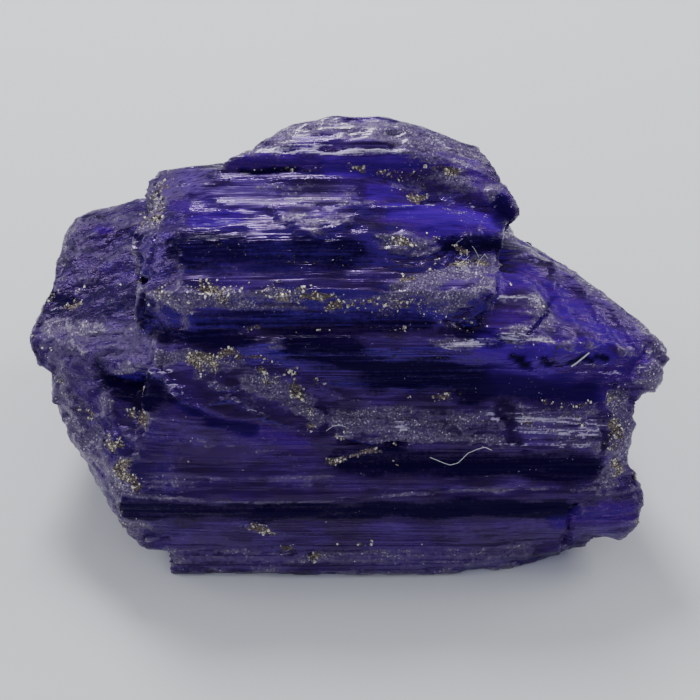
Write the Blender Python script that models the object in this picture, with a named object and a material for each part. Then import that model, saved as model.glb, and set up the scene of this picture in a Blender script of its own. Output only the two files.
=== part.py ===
"""A rough tanzanite crystal, as found: a striated prism lying on its side, with stepped ledges and broken ends.

The prism axis is X, the striations run along it, and the crystal rests on a flat cleavage face at Z = 0.
Sizes in the tables are in millimetres and are scaled to metres as each mesh is made.
"""

import math

import bmesh
import bpy
from mathutils import Matrix, Vector, noise

MM = 0.001
PITCH = 0.45  # spacing of the coarse striations, in mm
GROOVE = 0.07  # depth of a coarse striation, in mm
STATIONS = 15  # rings along each prism
WANDER = 0.07  # how far the growth edges stray from straight lines, in mm
CHUNKS = 0.16  # how far the broken surfaces stray from flat, in mm
UNEVEN = 0.38  # how far a scar's cutter strays from an ellipsoid, as a share of its smallest radius
BELOW = -0.4  # how far the pieces reach below the cleavage face before it is cut, in mm

# A prism is a list of ridges, the edges that run along it from left to right. Each ridge is a few points.
# The ridges go round the prism from the bottom of its front face, over its top and down its back.
LOWER_PRISM = [
    [(-5.3, -5.5, BELOW), (-4.0, -5.7, BELOW), (3.4, -5.7, BELOW), (6.9, -5.2, BELOW)],
    [(-6.5, -5.95, 1.08), (-5.0, -6.12, 1.1), (3.4, -6.15, 1.1), (7.3, -5.85, 1.05)],
    [(-6.65, -5.95, 1.95), (-5.0, -5.97, 2.0), (3.4, -5.95, 2.0), (7.5, -5.8, 1.95)],
    [(-6.7, -5.8, 2.9), (-5.0, -5.87, 3.15), (3.4, -5.85, 3.2), (7.3, -5.72, 3.1)],
    [(-6.35, -5.3, 3.8), (-5.0, -5.3, 3.9), (3.4, -5.3, 3.95), (7.3, -5.25, 3.8)],
    [(-5.7, -4.2, 6.0), (-4.3, -4.77, 5.7), (-0.9, -4.97, 4.95), (0.4, -5.2, 4.65), (7.2, -5.15, 4.45)],
    [(-5.6, -3.9, 6.3), (-3.9, -3.82, 6.9), (-1.5, -3.9, 6.3), (-0.4, -4.04, 5.5), (7.3, -4.1, 5.25)],
    [(-5.6, -3.5, 6.6), (-3.9, -3.65, 7.1), (-1.5, -3.85, 7.3), (5.8, -3.8, 7.15), (8.6, -2.9, 6.2)],
    [(-5.6, -3.0, 6.9), (-3.9, -3.2, 7.3), (3.4, -3.3, 7.5), (5.8, -3.2, 7.3), (8.8, -2.2, 6.2)],
    [(-5.9, 0.2, 7.2), (0.0, 0.2, 7.8), (5.0, 0.1, 7.6)],
    [(-5.6, 3.6, 6.6), (-2.0, 4.2, 7.1), (2.0, 4.2, 7.1), (3.9, 3.9, 6.9)],
    [(-5.7, 4.0, 5.7), (-2.0, 4.75, 6.0), (2.0, 4.7, 6.1), (4.3, 4.3, 5.9)],
    [(-5.8, 4.6, 5.5), (-2.0, 5.45, 5.8), (2.4, 5.4, 5.7), (4.7, 4.9, 5.5)],
    [(-5.8, 5.1, 4.4), (-2.0, 6.0, 4.8), (2.0, 5.9, 4.6), (5.3, 5.3, 4.5)],
    [(-6.0, 5.1, 2.3), (-3.0, 5.9, 2.5), (3.0, 5.8, 2.2), (6.2, 5.0, 2.3)],
    [(-5.8, 4.9, 1.2), (-3.0, 5.6, 1.3), (3.0, 5.6, 1.1), (6.2, 4.7, 1.2)],
    [(-5.6, 4.5, 1.0), (-1.0, 5.35, 1.0), (3.0, 5.3, 0.9), (6.1, 4.2, 1.0)],
    [(-5.4, 4.2, BELOW), (0.0, 5.0, BELOW), (6.1, 3.8, BELOW)],
]
UPPER_PRISM = [
    [(-5.9, -2.9, 6.0), (-4.6, -3.4, 6.6), (3.4, -3.45, 6.6), (4.0, -3.2, 6.6)],
    [(-6.1, -2.5, 6.9), (-4.6, -3.25, 7.45), (3.0, -3.3, 7.55), (3.7, -3.1, 7.5)],
    [(-6.2, -2.1, 7.6), (-4.8, -2.8, 8.2), (-1.0, -2.85, 8.4), (3.6, -2.8, 8.3), (4.2, -2.5, 8.0)],
    [(-6.2, -1.6, 7.8), (-4.8, -2.3, 8.3), (-1.0, -2.3, 8.55), (2.0, -1.7, 8.6), (4.4, -1.3, 8.1)],
    [(-6.3, -0.8, 8.2), (-4.8, -1.4, 8.9), (-1.0, -1.4, 9.2), (1.5, -1.35, 9.15), (4.5, -0.8, 8.5)],
    [(-6.3, -0.2, 8.25), (-4.8, -0.7, 9.0), (-1.0, -0.7, 9.3), (3.0, -0.5, 9.1), (4.6, -0.3, 8.5)],
    [(-6.1, 1.6, 8.75), (-5.2, 1.2, 9.2), (-3.9, 0.95, 9.6), (0.0, 0.85, 9.72), (4.5, 0.8, 8.6)],
    [(-5.4, 2.6, 8.1), (-4.0, 2.6, 8.3), (-3.0, 2.6, 9.1), (2.0, 2.5, 9.5), (4.0, 2.6, 8.6)],
    [(-5.2, 3.7, 6.9), (-2.0, 3.9, 7.8), (2.0, 3.9, 7.8), (3.6, 3.7, 7.4)],
    [(-5.0, 3.9, 6.0), (3.4, 3.8, 6.2)],
    [(-5.2, 0.0, 5.6), (3.6, 0.0, 5.6)],
]
CROWN = [
    [(-3.6, 0.6, 8.9), (2.0, 0.55, 8.8), (4.6, 0.0, 7.95)],
    [(-3.8, 1.0, 9.6), (-1.0, 0.95, 9.72), (1.8, 0.95, 9.7), (3.2, 0.6, 9.3), (5.0, 0.24, 8.6)],
    [(-3.5, 1.15, 10.0), (-1.0, 1.12, 10.2), (1.8, 1.1, 10.2), (4.5, 1.25, 9.2)],
    [(-2.9, 1.5, 10.0), (-2.0, 1.6, 10.25), (1.4, 1.75, 10.45), (2.9, 1.9, 10.0), (4.1, 1.8, 9.5)],
    [(-2.4, 2.2, 9.9), (-1.6, 2.4, 10.3), (-0.6, 2.5, 10.5), (1.0, 2.5, 10.5), (3.8, 2.2, 9.6)],
    [(-2.5, 2.9, 9.2), (-0.6, 3.3, 9.8), (2.0, 3.2, 9.6), (3.4, 2.8, 9.1)],
    [(-2.8, 3.5, 8.4), (0.0, 3.8, 8.4), (3.3, 3.2, 8.2)],
    [(-3.0, 1.8, 8.2), (3.6, 1.6, 8.0)],
]
FOOT = [
    [(-5.1, -6.1, BELOW), (0.0, -6.2, BELOW), (5.0, -5.85, BELOW), (6.0, -5.6, BELOW)],
    [(-5.4, -6.45, 0.1), (0.0, -6.55, 0.1), (3.0, -6.45, 0.1), (5.2, -6.15, 0.1), (6.4, -5.85, 0.2)],
    [(-5.5, -6.1, 1.0), (0.0, -6.3, 1.0), (5.0, -6.1, 1.0), (6.8, -5.9, 1.0)],
    [(-5.4, -5.2, 1.2), (6.6, -5.1, 1.2)],
    [(-4.8, -5.0, BELOW), (6.2, -4.9, BELOW)],
]
BACK_RIB = [
    [(-3.6, 5.0, 3.9), (0.0, 5.3, 4.2), (2.2, 5.0, 4.0)],
    [(-3.9, 5.9, 3.7), (0.0, 6.2, 3.9), (2.6, 5.9, 3.6)],
    [(-4.3, 6.05, 2.6), (0.0, 6.3, 2.7), (2.4, 6.15, 2.5)],
    [(-3.7, 5.9, 1.2), (0.0, 6.1, 1.0), (2.1, 5.9, 1.3)],
    [(-3.4, 5.0, 0.9), (0.0, 5.0, 0.8), (1.8, 5.0, 1.0)],
]
PRISMS = {
    "lower_prism": LOWER_PRISM,
    "upper_prism": UPPER_PRISM,
    "crown": CROWN,
    "foot": FOOT,
    "back_rib": BACK_RIB,
}

# Broken lobes and terminations, each the convex hull of its corners.
LOBES = {
    "left_tip": [
        (-9.75, -1.35, 5.0),
        (-9.5, -2.0, 4.5),
        (-9.3, -0.6, 5.5),
        (-9.2, 0.4, 5.6),
        (-8.6, -2.6, 4.5),
        (-5.7, -3.85, 6.3),
        (-5.2, -3.2, 6.9),
        (-5.4, -1.0, 7.2),
        (-8.9, -1.2, 3.6),
        (-8.6, 2.0, 3.6),
        (-5.4, -3.0, 4.2),
        (-5.0, 2.0, 4.0),
    ],
    "left_end": [
        (-9.05, -2.95, 4.0),
        (-9.1, -1.4, 4.4),
        (-8.6, -3.4, 3.6),
        (-8.0, -2.75, 4.9),
        (-7.4, -3.5, 4.65),
        (-6.4, -3.95, 5.3),
        (-7.3, -4.6, 3.6),
        (-7.7, -4.35, 2.6),
        (-6.8, -5.6, 1.5),
        (-6.6, -5.92, 1.1),
        (-6.65, -5.9, 2.7),
        (-6.3, -5.2, 4.1),
        (-6.0, -4.85, 4.8),
        (-5.0, -5.0, 4.6),
        (-5.2, -5.8, 1.2),
        (-5.2, -3.0, 0.4),
        (-7.8, 0.0, 1.0),
        (-8.8, 0.8, 3.4),
        (-8.6, 1.8, 4.4),
        (-5.0, 1.5, 0.6),
        (-5.2, 0.0, 4.6),
    ],
    "left_shoulder": [
        (-9.3, -0.2, 5.2),
        (-9.25, 0.3, 5.8),
        (-9.0, 1.75, 6.5),
        (-8.55, 2.05, 7.0),
        (-7.8, 2.25, 7.25),
        (-6.4, 2.1, 7.55),
        (-5.6, 2.0, 8.0),
        (-6.3, 0.0, 7.3),
        (-6.2, -1.0, 6.6),
        (-8.6, -0.5, 5.0),
        (-8.6, 3.2, 4.2),
        (-5.4, 4.4, 4.7),
        (-5.0, 0.0, 3.0),
    ],
    "left_back": [
        (-8.9, 2.6, 4.9),
        (-8.9, 0.6, 3.4),
        (-8.3, 3.9, 3.6),
        (-7.2, 4.8, 2.4),
        (-5.2, 5.4, 2.2),
        (-5.2, 5.0, 4.6),
        (-6.4, 4.4, 5.0),
        (-6.6, 3.0, 0.9),
        (-5.2, 3.8, 0.3),
        (-7.6, 0.0, 1.1),
        (-5.0, 0.0, 2.0),
        (-8.8, 0.0, 4.8),
    ],
    "upper_left_step": [
        (-6.1, 1.3, 8.45),
        (-6.0, 1.9, 8.6),
        (-5.65, 1.75, 9.0),
        (-4.9, 1.4, 9.35),
        (-3.6, 1.0, 9.62),
        (-3.4, 2.3, 8.9),
        (-5.3, 3.0, 7.8),
        (-5.9, 0.3, 8.0),
        (-4.2, 0.2, 8.6),
        (-4.2, 3.0, 7.0),
    ],
    "right_slope": [
        (5.0, -0.3, 7.8),
        (5.5, -0.15, 7.6),
        (6.65, -0.65, 7.2),
        (7.35, -1.2, 6.9),
        (8.25, -1.85, 6.5),
        (8.8, -2.2, 6.2),
        (9.1, -2.6, 5.7),
        (8.4, -3.1, 6.0),
        (5.9, -3.7, 7.1),
        (3.6, -3.3, 7.3),
        (3.4, 0.2, 7.8),
        (4.0, 2.0, 7.0),
        (6.9, 1.6, 4.6),
        (8.1, -0.4, 4.6),
        (5.0, -2.0, 4.0),
        (8.3, -3.5, 4.8),
    ],
    "right_step": [
        (3.2, -1.6, 7.95),
        (5.1, -1.5, 7.85),
        (3.2, -2.4, 7.85),
        (5.3, -2.3, 7.72),
        (3.0, -3.5, 7.35),
        (5.6, -3.5, 7.25),
        (5.9, -2.2, 7.2),
        (3.2, -3.4, 6.6),
        (5.5, -3.4, 6.6),
        (4.0, -1.0, 7.0),
    ],
    "right_tip": [
        (9.42, -2.75, 5.6),
        (9.2, -3.15, 5.4),
        (8.9, -2.3, 6.1),
        (8.55, -3.7, 5.2),
        (8.3, -4.0, 4.7),
        (8.2, -3.5, 5.9),
        (8.3, -2.0, 5.0),
        (7.0, -2.6, 4.6),
        (7.2, -3.8, 4.0),
    ],
    "right_end": [
        (7.3, -4.0, 5.2),
        (8.35, -3.9, 4.9),
        (8.2, -4.7, 4.2),
        (8.2, -5.0, 3.6),
        (7.3, -5.1, 4.3),
        (7.3, -5.6, 3.2),
        (8.3, -2.4, 4.9),
        (8.1, -1.2, 3.6),
        (7.9, 0.8, 3.8),
        (7.6, -1.0, 1.2),
        (6.6, 3.6, 3.4),
        (6.2, 3.4, 4.9),
        (7.3, 1.2, 4.7),
        (7.9, -4.4, 2.0),
        (6.0, 3.8, 0.6),
        (6.9, -4.6, 0.7),
        (5.8, 4.6, 2.4),
        (5.0, 0.0, 6.0),
        (5.0, 3.0, 5.6),
        (5.0, -3.0, 5.0),
        (5.0, 0.0, 0.4),
    ],
    "right_foot_lobe": [
        (8.2, -4.95, 3.5),
        (8.45, -5.2, 3.2),
        (8.7, -5.3, 2.6),
        (8.72, -5.75, 1.6),
        (8.2, -5.95, 1.0),
        (6.8, -5.9, 1.0),
        (6.6, -5.85, 2.6),
        (7.1, -5.6, 3.2),
        (7.0, -4.2, 0.7),
        (8.1, -4.2, 1.0),
        (7.2, -3.6, 3.4),
        (6.2, -4.6, 2.0),
    ],
}

# Shell-shaped scars and pits: centre, radii, and turns in degrees about Z then Y.
SCARS = [
    ((-3.3, -4.95, 6.9), (1.5, 0.9, 0.75), 8.0, 12.0),
    ((-0.5, -1.25, 9.75), (1.1, 0.55, 0.5), 0.0, 0.0),
    ((3.2, -1.9, 9.1), (1.5, 0.8, 0.55), -8.0, 8.0),
    ((-1.5, -6.75, 0.95), (1.0, 0.6, 0.35), 0.0, 0.0),
    ((2.1, 0.55, 9.95), (0.5, 0.35, 0.35), 0.0, 0.0),
    ((3.0, -3.55, 7.75), (0.5, 0.3, 0.28), 0.0, 0.0),
    ((-6.9, -4.75, 5.5), (1.2, 1.0, 0.9), 30.0, 25.0),
    ((-9.3, -3.3, 2.4), (1.5, 1.4, 1.3), 0.0, 0.0),
    ((8.55, -5.1, 4.6), (0.9, 0.7, 0.8), 0.0, 0.0),
    ((-6.6, 0.5, 8.4), (0.8, 0.6, 0.5), 0.0, 0.0),
    ((-2.4, 6.4, 6.8), (3.4, 1.7, 1.5), -6.0, 8.0),
    ((5.4, 6.7, 3.7), (3.2, 1.9, 1.5), 24.0, -12.0),
    ((-6.6, 6.6, 3.4), (2.4, 1.8, 2.2), -20.0, 20.0),
    ((1.4, 4.6, 9.4), (2.2, 1.2, 1.0), 5.0, 0.0),
    ((-9.3, 2.9, 1.6), (1.9, 2.4, 1.9), 0.0, 0.0),
    ((9.2, 0.6, 1.8), (1.7, 2.8, 2.4), 0.0, 20.0),
    ((-2.0, -6.9, 2.7), (1.6, 1.05, 0.5), 0.0, 4.0),
    ((7.6, 2.9, 5.6), (1.7, 1.6, 1.6), 0.0, 0.0),
]

NAME = "tanzanite_crystal"


def clear_scene():
    """Removes every object, so that the script can be run again."""
    for old in list(bpy.data.objects):
        bpy.data.objects.remove(old, do_unlink=True)


def along(ridge, share):
    """The point of a ridge that lies at this share of its length in X."""
    x = ridge[0][0] + (ridge[-1][0] - ridge[0][0]) * share
    for near, far in zip(ridge, ridge[1:]):
        if x <= far[0] or far is ridge[-1]:
            part = (x - near[0]) / (far[0] - near[0])
            return Vector(near).lerp(Vector(far), part)


def strayed(point):
    """The point moved a little by noise that is drawn out along the prism."""
    place = Vector((point.x * 0.55, point.y * 1.1, point.z * 1.1))
    return point + (noise.noise_vector(place) + 0.5 * noise.noise_vector(place * 2.3)) * WANDER


def prism_ring(ridges, share):
    """One ring of points round a prism, with grooves of uneven depth between its ridges."""
    corners = [along(ridge, share) for ridge in ridges]
    ring = []
    for i, corner in enumerate(corners):
        following = corners[(i + 1) % len(corners)]
        sizing = (along(ridges[i], 0.5) - along(ridges[(i + 1) % len(ridges)], 0.5)).length
        closing = i == len(corners) - 1
        count = 1 if closing else max(1, round(sizing / PITCH))
        outward = Vector((1, 0, 0)).cross(following - corner).normalized()
        for step in range(count):
            depth = GROOVE * (step % 2) * (0.6 + 0.6 * math.sin(2.4 * step * (i + 1) + i))
            ring.append(strayed(corner.lerp(following, step / count) + outward * depth))
    return ring


def mesh_object(name, build):
    """An object whose mesh is filled by build(bm), with its faces pointing outwards."""
    bm = bmesh.new()
    build(bm)
    bmesh.ops.recalc_face_normals(bm, faces=bm.faces)
    mesh = bpy.data.meshes.new(name)
    bm.to_mesh(mesh)
    bm.free()
    made = bpy.data.objects.new(name, mesh)
    bpy.context.scene.collection.objects.link(made)
    return made


def prism(name, ridges):
    """A striated prism: its rings are bridged, and each end is closed to a point at its middle."""

    def build(bm):
        rings = [prism_ring(ridges, i / (STATIONS - 1)) for i in range(STATIONS)]
        loops = [[bm.verts.new(p * MM) for p in ring] for ring in rings]
        size = len(loops[0])
        for near, far in zip(loops, loops[1:]):
            for i in range(size):
                j = (i + 1) % size
                bm.faces.new((near[i], near[j], far[j], far[i]))
        for loop in (loops[0], loops[-1]):
            centre = sum((v.co for v in loop), Vector()) / size
            inner = []
            for vert in loop:
                place = vert.co.lerp(centre, 0.5)
                inner.append(bm.verts.new(place + Vector((noise.noise(place / MM) * 2 * CHUNKS * MM, 0, 0))))
            middle = bm.verts.new(centre)
            for i in range(size):
                j = (i + 1) % size
                bm.faces.new((loop[i], loop[j], inner[j], inner[i]))
                bm.faces.new((inner[i], inner[j], middle))

    return mesh_object(name, build)


def lobe(name, corners):
    """A broken lump: the convex hull of its corners, with a chunky surface."""

    def build(bm):
        for corner in corners:
            bm.verts.new(Vector(corner) * MM)
        made = bmesh.ops.convex_hull(bm, input=bm.verts)
        bmesh.ops.delete(bm, geom=list(set(made["geom_interior"])), context="VERTS")
        bmesh.ops.subdivide_edges(bm, edges=bm.edges[:], cuts=3, use_grid_fill=True)
        for vert in bm.verts:
            place = vert.co / MM
            shift = noise.noise_vector(place * 0.9) * 0.6 + noise.noise_vector(place * 2.1) * 0.5
            vert.co += shift * CHUNKS * MM

    return mesh_object(name, build)


def scar_cutter(index, centre, radii, turn_z, turn_y):
    """An uneven ellipsoid that leaves one shell-shaped scar."""
    turn = Matrix.Rotation(math.radians(turn_z), 4, "Z") @ Matrix.Rotation(math.radians(turn_y), 4, "Y")
    place = Matrix.Translation(Vector(centre) * MM) @ turn @ Matrix.Diagonal((*[r * MM for r in radii], 1))

    def build(bm):
        bmesh.ops.create_icosphere(bm, subdivisions=3, radius=1, matrix=place)
        for vert in bm.verts:
            vert.co += noise.noise_vector(vert.co / MM * 0.8 / min(radii)) * min(radii) * UNEVEN * MM

    return mesh_object(f"scar_{index}", build)


def combine(body, others, operation):
    """Applies one exact Boolean for each of the others to body, then removes them."""
    for other in others:
        step = body.modifiers.new(other.name, "BOOLEAN")
        step.operation = operation
        step.solver = "EXACT"
        step.object = other
    graph = bpy.context.evaluated_depsgraph_get()
    joined = bpy.data.meshes.new_from_object(body.evaluated_get(graph))
    body.modifiers.clear()
    body.data = joined
    for other in others:
        bpy.data.objects.remove(other, do_unlink=True)


def shells(bm):
    """The separate closed surfaces of a mesh, each a set of its vertices."""
    waiting = set(bm.verts)
    found = []
    while waiting:
        shell = set()
        edge_of_search = [waiting.pop()]
        while edge_of_search:
            vert = edge_of_search.pop()
            shell.add(vert)
            near = [e.other_vert(vert) for e in vert.link_edges]
            edge_of_search += [v for v in near if v in waiting]
            waiting.difference_update(near)
        found.append(shell)
    return found


def fill_hollows(body):
    """Keeps the outer surface only, which fills the hollows that were left shut in between the pieces."""
    bm = bmesh.new()
    bm.from_mesh(body.data)
    outer = max(shells(bm), key=lambda shell: max(v.co.x for v in shell) - min(v.co.x for v in shell))
    bmesh.ops.delete(bm, geom=[v for v in bm.verts if v not in outer], context="VERTS")
    bm.to_mesh(body.data)
    bm.free()


def cut_sole(body):
    """Cuts everything below Z = 0 away and closes the cut, which is the face that the crystal rests on."""
    bm = bmesh.new()
    bm.from_mesh(body.data)
    everything = bm.verts[:] + bm.edges[:] + bm.faces[:]
    cut = bmesh.ops.bisect_plane(
        bm, geom=everything, dist=1e-7, plane_co=(0, 0, 0), plane_no=(0, 0, -1), clear_outer=True
    )
    edges = [e for e in cut["geom_cut"] if isinstance(e, bmesh.types.BMEdge)]
    bmesh.ops.contextual_create(bm, geom=edges)
    bmesh.ops.triangulate(bm, faces=bm.faces)
    bm.to_mesh(body.data)
    bm.free()


def crystal_material():
    """Deep blue-violet, glossy and see-through."""
    material = bpy.data.materials.new("tanzanite")
    material.use_nodes = True
    shader = material.node_tree.nodes["Principled BSDF"]
    shader.inputs["Base Color"].default_value = (0.05, 0.03, 0.32, 1)
    shader.inputs["Roughness"].default_value = 0.22
    shader.inputs["Metallic"].default_value = 0.0
    shader.inputs["IOR"].default_value = 1.69
    return material


def main():
    clear_scene()
    pieces = [prism(name, ridges) for name, ridges in PRISMS.items()]
    pieces += [lobe(name, corners) for name, corners in LOBES.items()]
    crystal = pieces[0]
    crystal.name = NAME
    combine(crystal, pieces[1:], "UNION")
    fill_hollows(crystal)
    combine(crystal, [scar_cutter(i, *scar) for i, scar in enumerate(SCARS)], "DIFFERENCE")
    cut_sole(crystal)
    fill_hollows(crystal)
    crystal.data.materials.clear()
    crystal.data.materials.append(crystal_material())


main()
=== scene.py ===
# %% [markdown]
# # A rough tanzanite crystal
# Tanzanite is a blue-violet gem that grows as striated prisms. This one lies on its side. Its long faces
# carry fine lines and stepped ledges, its two ends are broken, and grit sticks in its hollows.
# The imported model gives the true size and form. This lesson gives that form its surface, its see-through
# blue-violet body, and the small loose things that lie on it.

import itertools
import math

import bmesh
import bpy
import numpy as np
from mathutils import Matrix, Vector
from mathutils.bvhtree import BVHTree


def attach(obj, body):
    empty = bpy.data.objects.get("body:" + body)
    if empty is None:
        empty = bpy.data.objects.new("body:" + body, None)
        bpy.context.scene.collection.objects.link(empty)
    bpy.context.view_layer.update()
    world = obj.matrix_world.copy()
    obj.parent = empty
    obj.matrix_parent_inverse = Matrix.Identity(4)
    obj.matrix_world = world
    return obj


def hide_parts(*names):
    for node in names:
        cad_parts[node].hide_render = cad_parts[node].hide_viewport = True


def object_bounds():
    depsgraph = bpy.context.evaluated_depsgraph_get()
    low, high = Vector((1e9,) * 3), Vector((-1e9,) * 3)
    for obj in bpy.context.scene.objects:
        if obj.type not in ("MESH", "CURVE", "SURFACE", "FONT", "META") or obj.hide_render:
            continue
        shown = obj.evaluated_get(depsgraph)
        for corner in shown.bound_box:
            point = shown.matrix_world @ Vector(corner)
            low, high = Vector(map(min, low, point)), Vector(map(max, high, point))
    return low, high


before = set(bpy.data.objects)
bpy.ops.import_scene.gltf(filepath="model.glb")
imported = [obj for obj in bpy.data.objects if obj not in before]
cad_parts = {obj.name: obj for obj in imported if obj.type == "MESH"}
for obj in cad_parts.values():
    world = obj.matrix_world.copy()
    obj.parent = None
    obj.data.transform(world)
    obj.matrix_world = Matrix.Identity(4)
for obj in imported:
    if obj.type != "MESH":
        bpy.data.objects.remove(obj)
cad_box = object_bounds()
MM = 0.001
crystal_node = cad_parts["tanzanite_crystal"]
print("the packed crystal measures", [round(s / MM, 2) for s in cad_box[1] - cad_box[0]], "mm")

# %% [markdown]
# ## The camera
# The picture looks down at the crystal at 45 degrees. A camera far away with a long lens would show the
# same side, but flat. This one stands only 43 mm away, as in close-up photography, so the near ledges look
# larger than the far ones. It comes first, because the marks on the crystal are placed along its lines of
# sight. The crystal is small, so the near clipping distance has to be small too.

# %% Set the camera
LENS = 65.3
TILT = math.radians(45)
camera = bpy.data.objects.new("camera", bpy.data.cameras.new("camera"))
bpy.context.scene.collection.objects.link(camera)
camera.location = (0, -28.9 * MM, 32.1 * MM)
camera.rotation_euler = (TILT, 0, 0)
camera.data.lens = LENS
camera.data.clip_start = MM
bpy.context.scene.camera = camera
print("the camera stands", round(camera.location.length / MM, 1), "mm from the origin")

# %% [markdown]
# ## Floor and light
# A pale floor and large soft lamps keep attention on the crystal. A sweep that curves up behind it would
# do too, but one flat sheet is enough, since the camera only looks down. A lamp above and behind makes the
# ledges shine, because they face up, and leaves the steep faces dark, as glassy faces are. The floor is
# pale right up to the crystal, so light also enters it from below and shows where it is thin.

# %% Make the floor
FLOOR_HALF = 0.6  # in metres
bm = bmesh.new()
bmesh.ops.create_grid(bm, x_segments=1, y_segments=1, size=FLOOR_HALF)
floor_mesh = bpy.data.meshes.new("floor")
bm.to_mesh(floor_mesh)
bm.free()
floor = bpy.data.objects.new("floor", floor_mesh)
bpy.context.scene.collection.objects.link(floor)
pale = bpy.data.materials.new("pale_floor")
pale.use_nodes = True
pale_shader = pale.node_tree.nodes["Principled BSDF"]
pale_shader.inputs["Base Color"].default_value = (0.86, 0.87, 0.89, 1)
pale_shader.inputs["Roughness"].default_value = 0.7
floor_mesh.materials.append(pale)
print("the floor is", 2 * FLOOR_HALF, "m wide")

# %% Hang the lamps
LAMP_AIM = Vector((0, 0, 5))  # the middle of the crystal, in millimetres


def soft_lamp(name, place, size, power):
    """A square area lamp at a place in millimetres, turned to face the crystal."""
    lamp = bpy.data.objects.new(name, bpy.data.lights.new(name, "AREA"))
    lamp.data.size = size * MM
    lamp.data.energy = power
    lamp.location = Vector(place) * MM
    lamp.rotation_euler = (LAMP_AIM - Vector(place)).to_track_quat("-Z", "Y").to_euler()
    bpy.context.scene.collection.objects.link(lamp)


soft_lamp("key_behind", (-14, 64, 82), 26, 0.078)
soft_lamp("fill_left", (-80, 15, 60), 40, 0.022)
soft_lamp("fill_right", (70, 30, 60), 40, 0.025)
world = bpy.data.worlds.new("studio")
world.use_nodes = True
world.node_tree.nodes["Background"].inputs["Color"].default_value = (0.86, 0.9, 1, 1)
world.node_tree.nodes["Background"].inputs["Strength"].default_value = 0.45
bpy.context.scene.world = world
print(len(bpy.data.lights), "lamps and a pale sky")

# %% [markdown]
# ## The fine surface
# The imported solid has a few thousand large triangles. The real surface is covered with lines about a
# twentieth of a millimetre wide that run along the prism. Subdividing the triangles would keep their
# uneven sizes, so the solid is remeshed with cubes instead. The mesh is squeezed to half its length first
# and drawn out again afterwards, so the cubes end up twice as long as they are wide, in the direction of
# the lines. That saves half the points.

# %% Remesh the solid
SQUEEZE = 0.5
CUBE = 0.077  # in millimetres, across the lines
WELD = 1e-7  # in metres


def link(name, data):
    """An object at the origin that shows this mesh or curve."""
    made = bpy.data.objects.new(name, data)
    bpy.context.scene.collection.objects.link(made)
    return made


def plain_mesh(obj):
    """The mesh of an object with all its modifiers applied."""
    bpy.context.view_layer.update()
    made = bpy.data.meshes.new_from_object(obj.evaluated_get(bpy.context.evaluated_depsgraph_get()))
    obj.modifiers.clear()
    return made


bm = bmesh.new()
bm.from_mesh(crystal_node.data)
bmesh.ops.remove_doubles(bm, verts=bm.verts, dist=WELD)
bm.transform(Matrix.Diagonal((SQUEEZE / MM, 1 / MM, 1 / MM, 1)))
squeezed = bpy.data.meshes.new("crystal_surface")
bm.to_mesh(squeezed)
bm.free()
crystal = link("crystal_surface", squeezed)
cubes = crystal.modifiers.new("cubes", "REMESH")
cubes.mode = "VOXEL"
cubes.voxel_size = CUBE
crystal.data = plain_mesh(crystal)
crystal.data.transform(Matrix.Diagonal((1 / SQUEEZE, 1, 1, 1)))
crystal.data.materials.clear()
print("the fine surface has", len(crystal.data.vertices), "points, in millimetres for now")

# %% [markdown]
# ## Noise that numbers can be drawn from
# Every mark on a natural surface needs some disorder. A Displace modifier could bring it, but then no
# other step could read it. So this is value noise, worked out here: each corner of a grid gets a number
# from a fixed sum, and points in between are blended. It works on all points at once, and it gives the
# same crystal each time.

# %% Write the noise
CORNER_SUM = np.array((374761393, 668265263, 1442695041))  # large odd numbers that mix a corner's place
SEED_SUM = 1274126177
WHOLE = 0x7FFFFFFF
HALF = 0x3FFFFFFF


def noise(points, seed):
    """Smooth noise from -1 to 1, with bumps one unit across."""
    cell = np.floor(points).astype(np.int64)
    share = points - cell
    share = share * share * (3 - 2 * share)
    total = np.zeros(len(points))
    for corner in itertools.product((0, 1), repeat=3):
        key = (cell + corner) @ CORNER_SUM + seed * SEED_SUM
        key = (key ^ (key >> 13)) * 1103515245 & WHOLE
        key = (key ^ (key >> 15)) * 1664525 & WHOLE
        weight = np.prod(np.where(corner, share, 1 - share), axis=1)
        total += weight * (key / HALF - 1)
    return total


def ridged(points, seed):
    """Noise with sharp crests at 1 and broad hollows near 0."""
    return 1 - np.abs(noise(points, seed))


def between(low, high, values):
    """0 below low, 1 above high, and a smooth rise in between."""
    share = np.clip((values - low) / (high - low), 0, 1)
    return share * share * (3 - 2 * share)


print("noise at three points:", noise(np.array([(0.5, 0, 0), (3.2, 1, 4), (9, 9.5, 2)]), 1).round(2))

# %% [markdown]
# ## Reading the surface
# Three things say what a point of the surface looks like: which way it faces, whether it is on an edge or
# in a hollow, and what was drawn on it. Edges wear white, hollows hold grit, and faces across the
# prism are broken, while faces along it are grown and striated. Painting all that by hand would take long
# and miss the back, so it is measured: a point stands out when it lies above the mean of its neighbours.

# %% Measure the faces, edges and hollows
SOLE_TOP = 0.02  # points lower than this, in millimetres, are the flat sole
count = len(crystal.data.vertices)
ends = np.empty(len(crystal.data.edges) * 2, dtype=np.int64)
crystal.data.edges.foreach_get("vertices", ends)
edge_a, edge_b = ends.reshape(-1, 2).T
neighbours = np.maximum(np.bincount(edge_a, minlength=count) + np.bincount(edge_b, minlength=count), 1)


def points_of(mesh):
    """The points of a mesh as an array."""
    flat = np.empty(len(mesh.vertices) * 3)
    mesh.vertices.foreach_get("co", flat)
    return flat.reshape(-1, 3)


def normals_of(mesh):
    """The directions that the points of a mesh face."""
    flat = np.empty(len(mesh.vertices) * 3, dtype=np.float32)
    mesh.vertex_normals.foreach_get("vector", flat)
    return flat.reshape(-1, 3).astype(float)


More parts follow.
